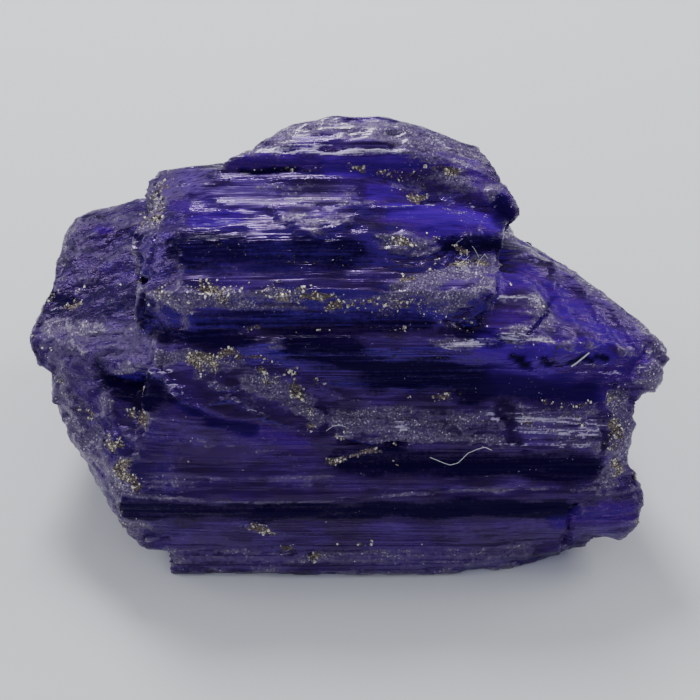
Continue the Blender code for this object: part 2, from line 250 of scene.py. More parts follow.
def spread(values, times):
    """Values blended with those of the neighbouring points, several times over."""
    for _ in range(times):
        total = np.bincount(edge_a, values[edge_b], count) + np.bincount(edge_b, values[edge_a], count)
        values = 0.4 * values + 0.6 * total / neighbours
    return values


def eased(points, times):
    """The points drawn towards the mean of their neighbours, several times over."""
    return np.stack([spread(points[:, axis], times) for axis in range(3)], axis=1)


def bulge(points, facing, times):
    """How far each point stands out from the ones around it: above 0 on edges, below 0 in hollows."""
    return np.einsum("ij,ij->i", points - eased(points, times), facing)


place = points_of(crystal.data)
facing = normals_of(crystal.data)
broad = bulge(place, facing, 40)
sole = place[:, 2] < SOLE_TOP
across = between(0.45, 0.8, np.abs(facing[:, 0]))
upward = between(0.35, 0.8, facing[:, 2])
print(f"{across.mean():.0%} of the surface is broken across, {upward.mean():.0%} of it faces up")

# %% [markdown]
# ## Drawing on the crystal
# Some marks belong in one place, such as the frosted scar over the front. Each is a stroke: a few points
# as they are seen through the camera, with a width in millimetres. Projecting a picture would smear on
# the faces that turn away. Here a line of sight through each point finds where it meets the crystal, and
# the mark is strongest there, so it lies on the real surface and looks right from every side. A little
# noise frays its rim, longer along the prism than across it, as the crystal's own lines are.

# %% Find points on the crystal by sight
PIXELS = 700
PIXELS_PER_MM = 35
STROKE_GAP = 0.12  # millimetres between the points of a stroke


def sight_target(points):
    """The crystal's surface, ready to be met by lines of sight."""
    faces = [tuple(f.vertices) for f in crystal.data.polygons]
    return BVHTree.FromPolygons([Vector(p) for p in points.tolist()], faces)


def sight(u, v):
    """Where the line of sight through this point of a 700 by 700 picture meets the crystal."""
    focal = LENS / camera.data.sensor_width * PIXELS
    ray = Vector(((u - PIXELS / 2) / focal, (PIXELS / 2 - v) / focal, -1))
    ray.rotate(camera.rotation_euler)
    spot, normal, _, _ = target.ray_cast(camera.location / MM, ray.normalized())
    return (spot, normal) if spot else (None, None)


def traced(stroke):
    """Points on the crystal along a stroke, close together."""
    found = []
    for (u0, v0), (u1, v1) in zip(stroke, stroke[1:]):
        steps = max(1, round(math.dist((u0, v0), (u1, v1)) / PIXELS_PER_MM / STROKE_GAP))
        for i in range(steps + 1):
            spot, _ = sight(u0 + (u1 - u0) * i / steps, v0 + (v1 - v0) * i / steps)
            if spot:
                found.append(spot)
    return np.array(found)


def drawn(strokes):
    """How strongly each point of the surface is marked. A stroke is (width, strength, its points)."""
    marked = np.zeros(count)
    for width, strength, stroke in strokes:
        centres = traced(stroke)
        within = (place > centres.min(0) - width) & (place < centres.max(0) + width)
        near = np.flatnonzero(np.all(within, axis=1))
        gaps = np.linalg.norm(place[near, None] - centres[None], axis=2).min(axis=1)
        frayed = 0.35 * noise(place[near] * (0.8, 1.8, 1.8), 31)
        frayed = frayed + 0.25 * noise(place[near] * (1.5, 5, 5), 32)
        mark = strength * (1 - between(0.35, 1, gaps / width + frayed))
        marked[near] = np.maximum(marked[near], mark)
    return marked


def share_of(mark):
    """How much of the surface has this mark, for a print."""
    return f"{(mark > 0.2).mean():.1%} of the surface"


target = sight_target(place)
print("the middle of the picture is at", [round(c, 2) for c in sight(350, 350)[0]], "mm")

# %% [markdown]
# ## Frost
# Frost is a surface of tiny broken steps, which scatters light and looks lavender grey. Here it covers
# the crown's cap, the scar that crosses the front, and many ledges. Noise alone would put it anywhere, so
# the strokes say where it is in the picture, and noise is added later for the sides that it doesn't show.

# %% Draw the frost
frost_strokes = [
    (0.60, 0.70, [(262, 137), (290, 128), (325, 125), (360, 125), (400, 130), (430, 140), (458, 152),
                  (478, 162)]),
    (0.40, 0.60, [(440, 192), (470, 182), (492, 190)]),
    (0.45, 0.45, [(262, 190), (300, 193), (340, 196), (365, 200)]),
    (0.60, 0.80, [(148, 196), (152, 212), (150, 224)]),
    (0.40, 0.60, [(412, 186), (440, 180), (470, 180)]),
    (0.35, 0.60, [(388, 240), (410, 250), (432, 246)]),
    (0.45, 0.80, [(405, 287), (430, 278), (460, 272), (490, 264)]),
    (0.35, 0.75, [(430, 300), (465, 298), (488, 285)]),
    (0.40, 0.62, [(290, 214), (315, 220), (345, 214)]),
    (0.46, 0.60, [(150, 302), (200, 299), (260, 300), (320, 306), (390, 309), (450, 307)]),
    (0.50, 0.40, [(75, 222), (100, 214), (130, 222)]),
    (0.50, 0.45, [(62, 285), (95, 285), (130, 290)]),
    (0.40, 0.50, [(62, 305), (95, 303), (130, 308)]),
    # The left facet: frost, and partly painted light from the lamp it faces.
    (0.36, 1.00, [(46, 326), (75, 327), (98, 329)]),
    # This stroke over a fold is partly frost, partly a painted highlight.
    (0.30, 0.90, [(163, 362), (185, 352), (200, 362)]),
    (0.62, 0.80, [(252, 381), (275, 392), (300, 405), (318, 416)]),
    (0.30, 0.60, [(158, 358), (175, 354), (190, 358)]),
    (0.30, 0.55, [(212, 366), (240, 364), (260, 372)]),
    (0.65, 0.85, [(338, 416), (370, 420), (400, 422)]),
    (0.58, 0.66, [(408, 424), (450, 424), (496, 424)]),
    (0.22, 0.90, [(405, 438), (450, 436), (502, 438)]),
    (0.45, 0.60, [(500, 412), (540, 414), (592, 410)]),
    (0.60, 0.40, [(530, 428), (560, 430), (594, 428)]),
    (0.40, 0.40, [(200, 376), (235, 392), (270, 412)]),
    # This thin ledge line is partly frost, partly a painted highlight.
    (0.16, 1.00, [(440, 345), (480, 340), (520, 337), (552, 340)]),
    (0.30, 0.62, [(513, 238), (540, 253), (575, 275), (600, 294), (630, 316), (650, 333), (665, 350)]),
    (0.45, 0.50, [(655, 352), (662, 365), (650, 380)]),
    (0.40, 0.50, [(505, 312), (530, 307), (545, 318), (515, 330)]),
    # These two thin lines on a step are partly frost, partly painted highlights.
    (0.12, 1.00, [(500, 298), (540, 296)]),
    (0.12, 0.90, [(495, 336), (530, 334)]),
    (0.55, 0.90, [(618, 400), (622, 430), (616, 460), (608, 480)]),
    (0.13, 0.90, [(128, 498), (170, 499), (250, 502), (330, 500)]),
    (0.12, 0.60, [(330, 500), (420, 494), (520, 490), (600, 488)]),
    (0.60, 0.40, [(185, 556), (300, 558), (420, 556), (520, 550)]),
    (0.55, 0.75, [(60, 400), (75, 430), (95, 455), (110, 480), (124, 505), (135, 527)]),
    (0.30, 0.40, [(150, 440), (220, 445), (300, 455)]),
    (0.30, 0.45, [(150, 482), (250, 478), (330, 482)]),
]
frost_drawn = drawn(frost_strokes)
print(len(frost_strokes), "strokes of frost cover", share_of(frost_drawn))

# %% [markdown]
# ## Haze
# Haze is a fainter veil than frost: very fine lines and scratches that turn the deep violet to a softer
# one. It could be one even tone, but then the body would look like paint. Drawn on its own, it leaves the
# clear faces between the hazy ones.

# %% Draw the haze
haze_strokes = [
    (0.9, 0.95, [(180, 552), (300, 556), (420, 555), (520, 548)]),
    (0.8, 0.60, [(170, 532), (300, 532), (450, 532), (560, 530)]),
    (0.8, 0.50, [(150, 472), (250, 470), (330, 472)]),
    (0.7, 0.35, [(150, 432), (230, 440), (300, 452)]),
    (0.5, 0.40, [(340, 484), (450, 482), (590, 480)]),
    (0.7, 1.00, [(165, 184), (200, 186), (238, 190), (255, 196)]),
    (0.6, 0.70, [(255, 192), (300, 194), (345, 196)]),
    (0.4, 0.60, [(235, 156), (290, 156), (330, 156)]),
    (0.5, 0.80, [(290, 212), (320, 216), (345, 212)]),
    (0.6, 0.80, [(482, 174), (492, 186), (496, 196)]),
    (0.9, 0.60, [(262, 137), (325, 127), (400, 132), (458, 152)]),
    (0.7, 0.90, [(78, 218), (104, 215), (128, 221)]),
    (0.6, 0.80, [(66, 242), (90, 252), (112, 256)]),
    # The left facet: haze, and partly painted light from the lamp it faces.
    (0.5, 1.00, [(48, 331), (78, 329), (106, 331)]),
    (0.4, 1.00, [(520, 240), (550, 260), (590, 290), (625, 315), (655, 340), (666, 356)]),
    (1.0, 0.30, [(62, 270), (95, 270), (130, 275)]),
    (0.9, 1.00, [(60, 340), (95, 342), (140, 346), (175, 350)]),
    # The left facet again: haze, and partly painted light from the lamp it faces.
    (0.4, 1.00, [(45, 327), (75, 328), (100, 330)]),
    (0.6, 0.80, [(405, 283), (440, 279), (480, 272)]),
    (0.5, 0.45, [(440, 305), (470, 302), (486, 290)]),
    (0.7, 0.65, [(500, 312), (530, 305), (545, 318), (515, 330)]),
    (0.7, 0.55, [(515, 240), (560, 262), (600, 294), (640, 325), (664, 350)]),
    (0.9, 1.00, [(524, 426), (550, 428), (592, 426)]),
    (0.8, 0.45, [(250, 380), (300, 405), (360, 418), (450, 420)]),
    (0.8, 0.60, [(650, 352), (655, 380), (620, 400), (622, 440), (610, 480)]),
    (0.8, 0.50, [(585, 515), (620, 525), (635, 520)]),
    (0.9, 0.55, [(70, 400), (90, 440), (110, 480), (130, 520)]),
]
haze_drawn = drawn(haze_strokes)
print("haze lies over", share_of(haze_drawn))

# %% [markdown]
# ## Grit and specks
# Grit is pale brown and gold, and sits in hollows and on ledges, where the rock around the crystal stuck
# to it. Dark specks are smaller crumbs of the same rock. One drawn map serves twice: the material gets
# its soil tone from it, and loose grains are scattered over it later.

# %% Draw the grit and the specks
grit_strokes = [
    (0.40, 0.50, [(150, 292), (200, 290), (250, 294), (300, 298), (345, 306), (390, 310), (440, 308)]),
    (0.24, 1.00, [(204, 291), (214, 293), (222, 298)]),
    (0.16, 1.00, [(281, 298), (290, 299)]),
    (0.30, 1.00, [(300, 293), (315, 300), (332, 305)]),
    (0.24, 0.90, [(340, 309), (366, 305)]),
    (0.20, 0.80, [(240, 291), (256, 298)]),
    (0.34, 1.00, [(408, 190), (416, 197), (425, 193)]),
    (0.26, 0.80, [(412, 177), (440, 172), (462, 176)]),
    (0.26, 0.80, [(378, 223), (392, 227)]),
    (0.26, 0.80, [(398, 240), (418, 248), (430, 242)]),
    (0.24, 0.95, [(404, 277), (416, 281), (424, 274)]),
    (0.20, 0.90, [(431, 270), (438, 263)]),
    (0.16, 0.80, [(452, 266), (470, 262), (486, 262)]),
    (0.14, 0.80, [(455, 248), (466, 252)]),
    (0.30, 0.90, [(192, 357), (204, 362), (208, 368)]),
    (0.22, 0.90, [(222, 355), (234, 350), (240, 356)]),
    (0.16, 0.80, [(246, 330), (258, 328)]),
    (0.20, 1.00, [(258, 368), (266, 371)]),
    (0.32, 0.95, [(273, 380), (284, 386), (295, 391)]),
    (0.20, 0.85, [(300, 396), (308, 408), (312, 428)]),
    (0.22, 1.00, [(332, 432), (343, 431)]),
    (0.14, 0.80, [(240, 356), (262, 358), (292, 373)]),
    (0.16, 1.00, [(333, 432), (346, 440)]),
    (0.16, 0.90, [(330, 462), (365, 453), (398, 447)]),
    (0.22, 0.90, [(252, 525), (264, 530), (276, 537)]),
    (0.30, 1.00, [(284, 549), (300, 556), (318, 556)]),
    (0.35, 1.00, [(110, 444), (125, 460), (116, 476), (132, 482)]),
    (0.24, 0.70, [(80, 410), (96, 420)]),
    (0.24, 0.80, [(133, 415), (146, 422)]),
    (0.40, 0.60, [(142, 217), (150, 200), (162, 190), (152, 222)]),
    (0.34, 0.90, [(610, 402), (616, 430), (612, 455), (616, 472)]),
    (0.22, 0.80, [(46, 298), (60, 300), (75, 304)]),
    (0.22, 0.80, [(444, 326), (470, 324)]),
    (0.16, 0.90, [(526, 417), (528, 423)]),
    (0.18, 0.80, [(545, 402), (562, 405), (590, 404)]),
    (0.16, 0.90, [(578, 418), (584, 424)]),
]
speck_strokes = [
    (0.18, 0.80, [(215, 180), (260, 182), (330, 180), (400, 178)]),
    (0.16, 0.70, [(225, 166), (300, 168), (390, 165)]),
    (0.22, 0.90, [(500, 350), (525, 354), (560, 350), (590, 352)]),
    (0.20, 0.80, [(440, 326), (465, 326), (480, 318)]),
    (0.25, 0.60, [(330, 355), (420, 356), (500, 362)]),
    (0.22, 0.70, [(235, 352), (262, 354), (300, 366)]),
    (0.22, 0.90, [(415, 198), (428, 190), (436, 196)]),
    (0.16, 0.80, [(470, 236), (500, 232)]),
    (0.20, 0.60, [(150, 225), (180, 240), (240, 250), (300, 262), (380, 262)]),
    (0.20, 0.60, [(180, 495), (260, 500), (330, 508)]),
    (0.30, 1.00, [(255, 542), (280, 548), (310, 556)]),
    (0.22, 0.80, [(320, 548), (345, 552)]),
    (0.20, 0.80, [(50, 300), (70, 302)]),
    (0.22, 0.80, [(70, 395), (90, 408), (105, 440), (118, 470)]),
    (0.16, 0.80, [(604, 400), (608, 430), (604, 470)]),
]
grit_drawn = drawn(grit_strokes)
speck_drawn = drawn(speck_strokes)
print("grit lies over", share_of(grit_drawn), "and specks over", share_of(speck_drawn))

# %% [markdown]
# ## Dark spots, painted shade and painted glow
# Some steep faces look almost black, because no light comes back through them, and a few thin places glow
# bright violet. Pure refraction gives such contrasts too, but it needs the inner cracks of the real
# stone, and no outer shape tells of those. So both are drawn as painted shade and painted glow, and the
# material follows them. A few small dark strokes are real black-brown spots of rock.

# %% Draw the dark spots, the painted shade and the painted glow
# Painted shade, mostly on steep faces; the smallest strokes are real black-brown spots of rock.
dark_spots_and_painted_shade_strokes = [
    (0.55, 0.90, [(125, 510), (200, 511), (350, 511), (500, 509), (560, 507)]),
    (0.60, 0.80, [(345, 458), (420, 460), (500, 464), (596, 466)]),
    (0.65, 0.90, [(106, 380), (130, 388), (154, 396)]),
    (0.40, 0.80, [(170, 337), (200, 338), (250, 341)]),
    (0.45, 0.55, [(200, 322), (330, 322), (430, 324)]),
    (0.90, 0.85, [(300, 352), (360, 366), (430, 374), (480, 380)]),
    (0.80, 0.75, [(180, 250), (250, 254), (340, 256)]),
    (0.50, 0.35, [(240, 262), (300, 268), (360, 266)]),
    (0.30, 0.70, [(165, 395), (210, 418), (250, 428)]),
    (0.25, 0.70, [(440, 330), (470, 332), (500, 344)]),
    (0.28, 0.42, [(322, 406), (327, 418), (324, 430)]),
    (0.42, 0.45, [(504, 408), (512, 424), (514, 438)]),
    (0.24, 1.00, [(50, 296), (62, 300), (74, 301)]),
    (0.16, 1.00, [(131, 235), (140, 238)]),
    (0.14, 1.20, [(139, 279), (144, 280)]),
    (0.10, 0.70, [(525, 336), (533, 328), (541, 321), (548, 310), (552, 299)]),
    (0.34, 0.85, [(447, 247), (470, 243), (498, 243)]),
    (0.45, 0.60, [(145, 300), (148, 320), (165, 330)]),
    (0.60, 0.70, [(498, 380), (540, 390), (590, 392)]),
    (0.90, 0.45, [(60, 300), (95, 306), (125, 300)]),
    (0.12, 1.10, [(512, 357), (519, 361)]),
    (0.14, 1.10, [(520, 360), (525, 368)]),
    (0.10, 1.10, [(527, 364), (531, 371)]),
    (0.14, 1.10, [(544, 360), (550, 366)]),
    (0.10, 1.10, [(553, 358), (556, 363)]),
    (0.14, 1.10, [(571, 363), (580, 360)]),
    (0.15, 1.10, [(583, 357), (592, 362)]),
    (0.12, 1.10, [(597, 357), (606, 359)]),
    (0.16, 0.90, [(242, 172), (252, 173), (276, 170), (296, 170)]),
    (0.30, 0.70, [(500, 205), (506, 214), (498, 224)]),
]
# Painted glow: thin places drawn bright violet.
painted_glow_strokes = [
    (0.75, 1.00, [(395, 214), (430, 216), (470, 217)]),
    (0.65, 0.90, [(470, 217), (490, 224)]),
    (0.50, 0.60, [(474, 178), (492, 198), (502, 212)]),
    (0.45, 0.90, [(330, 168), (370, 168), (408, 164)]),
    (0.35, 0.60, [(232, 162), (280, 161), (330, 162)]),
    (0.45, 0.80, [(196, 220), (236, 218)]),
    (0.26, 0.80, [(426, 161), (440, 158)]),
    (0.26, 0.90, [(452, 164), (474, 163)]),
    (0.26, 0.80, [(97, 230), (110, 232)]),
    (0.70, 0.60, [(505, 281), (532, 278)]),
    (0.45, 0.70, [(616, 334), (634, 348)]),
    (0.34, 0.80, [(374, 190), (396, 190)]),
    (0.35, 0.50, [(175, 206), (200, 208)]),
    (0.55, 0.95, [(488, 350), (530, 350), (570, 350), (604, 353)]),
    (0.90, 0.55, [(500, 372), (560, 384), (605, 388)]),
    (0.50, 0.60, [(498, 316), (532, 316)]),
    (0.80, 0.65, [(540, 285), (580, 315), (620, 345), (634, 366)]),
    (0.50, 0.60, [(560, 520), (600, 512), (630, 515)]),
    (0.40, 0.50, [(180, 405), (240, 425), (300, 445)]),
]
dark_spots_and_painted_shade = drawn(dark_spots_and_painted_shade_strokes)
painted_glow_drawn = drawn(painted_glow_strokes)
print("dark", share_of(dark_spots_and_painted_shade), "and bright", share_of(painted_glow_drawn))

# %% [markdown]
# ## Glints and smooth breaks
# A glint is a bundle of bright hairlines where a step catches the lamp. The steps are too fine for the
# mesh, so the glints are painted highlights in the material's colour; a few short strokes are small
# white chips. Smooth strokes do the opposite: the crown's pointed tip and the slope of the right end
# broke like glass, and noise has to stay off them.

# %% Draw the glints and the smooth breaks
# Painted highlights, drawn as bundles of bright hairlines.
glint_strokes = [
    (0.14, 1.00, [(258, 146), (300, 145), (330, 145)]),
    (0.18, 1.20, [(262, 150), (300, 151), (345, 151), (400, 150)]),
    (0.14, 1.00, [(180, 186), (210, 185), (238, 187)]),
    (0.12, 0.70, [(305, 188), (345, 187), (385, 188)]),
    (0.12, 0.45, [(300, 195), (345, 194), (380, 196)]),
    (0.12, 0.50, [(250, 203), (290, 203), (335, 205)]),
    (0.12, 0.75, [(224, 208), (248, 208), (270, 206)]),
    (0.12, 0.90, [(270, 208), (285, 218), (300, 228), (320, 230), (345, 222)]),
    (0.12, 1.00, [(430, 134), (442, 143), (450, 151)]),
    (0.12, 1.00, [(380, 208), (400, 207), (440, 203), (462, 198)]),
    (0.12, 0.90, [(470, 203), (475, 215), (480, 234)]),
    (0.12, 0.90, [(500, 200), (488, 214), (478, 228)]),
    (0.12, 0.90, [(487, 170), (495, 182), (500, 196)]),
    (0.12, 0.90, [(388, 259), (405, 266), (425, 260), (436, 245), (440, 238)]),
    (0.30, 0.12, [(180, 194), (250, 198), (330, 200), (380, 204)]),
    (0.22, 1.20, [(500, 300), (520, 299), (538, 299)]),
    (0.16, 1.20, [(494, 338), (515, 336), (532, 334)]),
    (0.20, 1.10, [(445, 347), (480, 343), (520, 341), (552, 341)]),
    (0.12, 0.85, [(568, 367), (600, 366), (622, 366)]),
    (0.12, 0.90, [(580, 374), (600, 374), (620, 374)]),
    (0.12, 0.85, [(566, 379), (600, 378), (620, 378)]),
    (0.12, 0.80, [(600, 385), (622, 384)]),
    (0.30, 0.40, [(560, 372), (600, 371), (618, 371)]),
    (0.13, 0.90, [(650, 351), (636, 375), (622, 400)]),
    (0.14, 1.10, [(153, 372), (162, 373), (170, 371)]),
    (0.14, 1.10, [(174, 385), (180, 390), (189, 397)]),
    (0.12, 1.00, [(166, 382), (175, 393), (183, 401), (193, 405), (206, 406), (214, 404)]),
    (0.12, 1.00, [(214, 397), (222, 393), (230, 396), (240, 403)]),
    (0.12, 0.60, [(240, 403), (262, 415), (300, 424)]),
    (0.14, 0.70, [(163, 352), (171, 356)]),
    (0.20, 0.60, [(128, 497), (200, 499), (300, 500), (350, 497)]),
    (0.60, 0.42, [(150, 470), (240, 474), (330, 482)]),
    (0.50, 0.40, [(350, 488), (470, 485), (590, 482)]),
    (0.50, 0.34, [(160, 440), (230, 448), (300, 460)]),
    (0.20, 0.70, [(515, 242), (550, 262), (590, 288), (625, 314), (660, 342)]),
    (0.20, 0.60, [(500, 444), (540, 446), (590, 443)]),
    (0.80, 1.00, [(525, 424), (555, 428), (592, 426)]),
    (0.16, 1.10, [(524, 418), (529, 424)]),
    (0.14, 1.00, [(578, 417), (584, 424)]),
    (0.12, 0.90, [(335, 432), (344, 439)]),
    (0.17, 1.10, [(398, 424), (404, 427)]),
    (0.17, 1.10, [(490, 413), (497, 420)]),
    (0.12, 1.00, [(440, 456), (458, 455)]),
    (0.12, 0.90, [(236, 400), (250, 408), (264, 413)]),
    (0.12, 1.00, [(126, 241), (142, 243)]),
    (0.12, 1.00, [(110, 293), (125, 294)]),
    (0.12, 1.00, [(50, 309), (60, 306)]),
    (0.25, 0.55, [(44, 327), (70, 326), (100, 329)]),
    (0.45, 0.46, [(155, 298), (220, 300), (300, 305), (380, 308)]),
    (0.12, 1.00, [(214, 296), (219, 298)]),
    (0.12, 1.00, [(282, 298), (289, 299)]),
]
smooth_strokes = [
    (1.3, 1.0, [(462, 162), (490, 182), (508, 206)]),
    (1.0, 1.0, [(400, 216), (450, 216), (500, 222)]),
    (1.3, 1.0, [(516, 246), (560, 275), (600, 304), (640, 336)]),
    (1.3, 1.0, [(520, 280), (560, 300), (600, 330), (640, 360)]),
    (0.7, 0.8, [(655, 345), (668, 360)]),
    (0.9, 1.0, [(578, 500), (610, 515), (638, 525)]),
    (0.9, 0.7, [(70, 235), (90, 222), (120, 214)]),
    (0.8, 0.7, [(165, 184), (200, 188), (240, 192)]),
    (0.7, 0.8, [(500, 312), (540, 312)]),
]
glint_drawn = drawn(glint_strokes)
smooth_drawn = drawn(smooth_strokes)
print("glints", share_of(glint_drawn), "and smooth breaks", share_of(smooth_drawn))

# %% [markdown]
# ## Raised rims and cracks
# A break in a crystal leaves thin raised rims, and growth leaves curved steps. Separate strips of mesh
# would look stuck on. They are drawn as strokes too, but as heights in millimetres: the first list raises
# rims, the second cuts cracks.

# %% Draw the rims and cracks
rim_strokes = [
    (0.55, 0.16, [(500, 196), (510, 210)]),
    (0.45, 0.22, [(650, 374), (654, 386)]),
    (0.30, 0.12, [(655, 345), (660, 348)]),
    (0.16, 0.16, [(160, 352), (153, 368), (166, 381), (176, 393), (184, 401), (194, 405), (208, 406),
                  (216, 400), (228, 397)]),
    (0.13, 0.10, [(172, 383), (180, 389), (190, 397)]),
    (0.12, 0.10, [(228, 397), (245, 405), (262, 416), (290, 425)]),
    (0.14, 0.10, [(386, 262), (410, 270), (436, 264), (456, 250), (466, 236)]),
    (0.12, 0.08, [(396, 250), (420, 256), (440, 248), (452, 238)]),
    (0.14, 0.08, [(268, 207), (285, 218), (300, 229), (322, 231), (348, 222), (362, 212)]),
    (0.14, 0.07, [(380, 208), (400, 207), (440, 203), (464, 197)]),
    (0.15, 0.05, [(552, 262), (556, 290), (570, 318), (590, 345)]),
    (0.15, 0.05, [(576, 276), (590, 304), (608, 334), (622, 352)]),
    (0.15, 0.05, [(602, 293), (616, 316), (632, 342)]),
    (0.12, 0.08, [(648, 352), (636, 378), (625, 400)]),
]
crack_strokes = [
    (0.11, 0.06, [(525, 336), (540, 322), (551, 301)]),
    (0.14, 0.20, [(139, 279), (144, 280)]),
    (0.13, 0.16, [(577, 505), (570, 525), (563, 548)]),
    (0.12, 0.14, [(343, 442), (372, 448), (408, 442)]),
    (0.12, 0.12, [(492, 296), (486, 312), (478, 322)]),
    (0.11, 0.12, [(446, 322), (470, 326), (500, 338), (525, 341)]),
    (0.11, 0.10, [(150, 176), (160, 200), (158, 226), (150, 262)]),
    (0.11, 0.10, [(142, 290), (141, 318)]),
    (0.10, 0.10, [(505, 417), (516, 435), (524, 452)]),
    (0.10, 0.09, [(600, 405), (603, 440), (600, 478)]),
    (0.12, 0.14, [(130, 548), (150, 535), (168, 540)]),
]
relief_drawn = drawn(rim_strokes) - drawn(crack_strokes)
print("heights from", relief_drawn.min().round(2), "to", relief_drawn.max().round(2), "mm")

# %% [markdown]
# ## What grew and what broke
# Growth leaves terraces, flat steps that run along the prism, and fine grooves between them. Breaking
# leaves chunks and dents. A bump map could fake them all, but the outline would stay smooth, so they are
# worked out as heights for the points. Noise that is stretched along the prism makes the grown forms, and
# even noise makes the broken ones. Where the crystal broke smoothly, its points are eased first.

# %% Work out the growth and the breaks
EASING = 7
STEPS = 2.6  # terraces for each unit of noise
place = place + (eased(place, EASING) - place) * np.where(sole, 0, smooth_drawn)[:, None]
along = place * (0.08, 1.6, 1.6)
steps = (noise(along, 3) + 0.5 * noise(along * 2.1, 4)) * STEPS
terrace = (np.floor(steps) + between(0.38, 0.62, steps - np.floor(steps))) / STEPS
grooves = ridged(place * (0.1, 4.0, 4.0), 5) + 0.8 * ridged(place * (0.12, 7.0, 7.0), 6) - 1.2
chunks = noise(place * 1.3, 7) + 0.6 * ridged(place * 2.6, 8) - 0.35 + 0.35 * noise(place * 6, 9)
dents = between(0.35, 0.8, noise(place * (1.2, 2.6, 2.6), 10))
tooth = noise(place * 9, 11) + 0.5 * noise(place * 14, 12)
print("terraces from", terrace.min().round(2), "to", terrace.max().round(2), "before they are scaled")

# %% [markdown]
# ## Where frost, grit and haze lie all round
# The strokes only reach the side that the picture shows. On the others, frost keeps to broken and upward
# faces, grit to hollows, and haze to both, in patches of noise. On upward faces, frost and haze also
# stand for painted light from above, which makes the tops lighter. The stronger of the drawn and the wild
# amount counts at each point. Edges wear white everywhere.

# %% Join the drawn marks with wild ones
frost_patches = between(-0.1, 0.5, noise(place * 0.8, 14))
# Frost on upward faces is partly painted light from above.
frost_wild = across * (0.45 + 0.5 * noise(place * 0.9, 13)) + 0.5 * upward * frost_patches
frost_wild = frost_wild * (1 - smooth_drawn)
edges = between(0.01, 0.05, broad) * between(-0.5, 0.4, noise(place * 1.1, 15))
frost = np.clip(np.maximum(frost_drawn, 0.75 * frost_wild) + 0.5 * edges, 0, 1)
frost = frost * (1 - 0.8 * dark_spots_and_painted_shade)

hollows = between(0.015, 0.06, -broad)
grit_wild = hollows * between(0.0, 0.6, noise(place * 0.7, 16))
grit_wild = grit_wild + across * between(0.3, 0.8, noise(place * 1.2, 17))
scattered = between(-0.5, 0.4, noise(place * (2, 4, 4), 18) + 0.6 * noise(place * 9, 25))
grit = np.maximum(grit_drawn * scattered, 0.7 * grit_wild * between(-0.2, 0.5, noise(place * 3.2, 18)))
grit = np.clip(grit, 0, 1)

# Haze on upward faces is partly painted light from above.
haze_wild = 0.45 * across + 0.3 * upward
haze_wild = haze_wild + 0.3 * between(-0.2, 0.6, noise(place * (0.15, 0.7, 0.7), 19))
haze_wild = haze_wild * between(-0.6, 0.3, noise(place * 0.5, 20))
haze = np.clip(np.maximum(haze_drawn, haze_wild), 0, 1)
haze = haze * (1 - dark_spots_and_painted_shade) * (1 - 0.7 * painted_glow_drawn)
print("all round, frost covers", share_of(frost), "and grit", share_of(grit))

# %% [markdown]
# ## Moving the points
# Each kind of height has its own depth in millimetres, named here so that one can be changed alone. The
# heights are added up and each point moves the way it faces. Moving all points straight up would do for
# the ledges, but it would smear the steep faces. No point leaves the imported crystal's box, and the sole
# stays flat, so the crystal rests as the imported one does.

# %% Raise and lower the points
TERRACE, GROOVE, CHUNK, DENT, CHIP, PIT = 0.08, 0.042, 0.11, 0.09, 0.1, 0.05
FLOOR_GAP = 0.01  # how far above the floor the lowest moved point stays
rough = 1 - 0.92 * smooth_drawn
chips = rough * CHIP * between(0.0, 0.04, broad) * between(0.05, 0.6, noise(place * (1.6, 2.6, 2.6), 23))
pits = rough * PIT * between(0.3, 0.7, noise(place * (2.6, 4, 4), 24)) * np.maximum(frost, grit)
height = (1 - across) * (TERRACE * terrace + GROOVE * grooves * (1 - 0.5 * frost))
height += rough * (across * CHUNK * chunks - DENT * dents * (0.3 + 0.7 * frost))
height -= chips
height -= pits
height += relief_drawn + tooth * (0.004 + rough * (0.016 * frost + 0.03 * grit))
height[sole] = 0
moved = place + facing * height[:, None]
moved[:, 2] = np.where(sole, place[:, 2], np.maximum(moved[:, 2], FLOOR_GAP))
place = np.clip(moved, np.array(cad_box[0]) / MM, np.array(cad_box[1]) / MM)
crystal.data.vertices.foreach_set("co", (place * MM).ravel())
crystal.data.update()
facing = normals_of(crystal.data)
target = sight_target(place)
print("the surface moved by up to", np.abs(height).max().round(2), "mm")

# %% [markdown]
# ## Keeping the marks
# The material and the scattered grains both need to know what lies where. A painted texture would need a
# flat unwrapping. Attributes don't: each mark is one number per point, kept with the mesh. The worn edges
# are measured again here, now that the surface is fine, and loose things are kept off the sole. The dull
# mark greys the broken faces, which are more scratched than the rest, and also the left end and the
# lowest part of the foot. The dark mark holds painted shade and real dark spots, the bright mark painted
# glow, and the glint mark painted highlights.

# %% Keep the marks with the points
CREASE = math.radians(38)  # faces that meet at a larger angle keep a sharp edge
wear = np.clip(between(0.004, 0.018, bulge(place, facing, 4)) * 0.6, 0, 1)
off_sole = between(0.1, 0.25, place[:, 2])
left_end = between(-4.5, -6.5, place[:, 0])
foot = 0.6 * between(1.8, 0.6, place[:, 2])
flake_patches = np.clip(frost - 0.35, 0, 1) * 0.5 * between(-0.3, 0.5, noise(place * 1.9, 21))
speck_patches = speck_drawn * between(-0.3, 0.4, noise(place * 4, 22)) + 0.5 * grit * (1 - grit_drawn)
marks = {
    "frost": np.clip(frost + 0.6 * wear * (1 - dark_spots_and_painted_shade), 0, 1),
    "haze": haze,
    "grit": grit * off_sole,
    # dark: painted shade and real dark spots; bright: painted glow
    "dark": dark_spots_and_painted_shade,
    "bright": painted_glow_drawn,
    "dull": np.maximum.reduce([across * (1 - smooth_drawn), left_end, foot]),
    # glint: painted highlights
    "glint": glint_drawn,
    "sparkle": off_sole * (flake_patches + 0.02 * frost),
    "speck": np.clip(speck_patches, 0, 1) * off_sole,
}
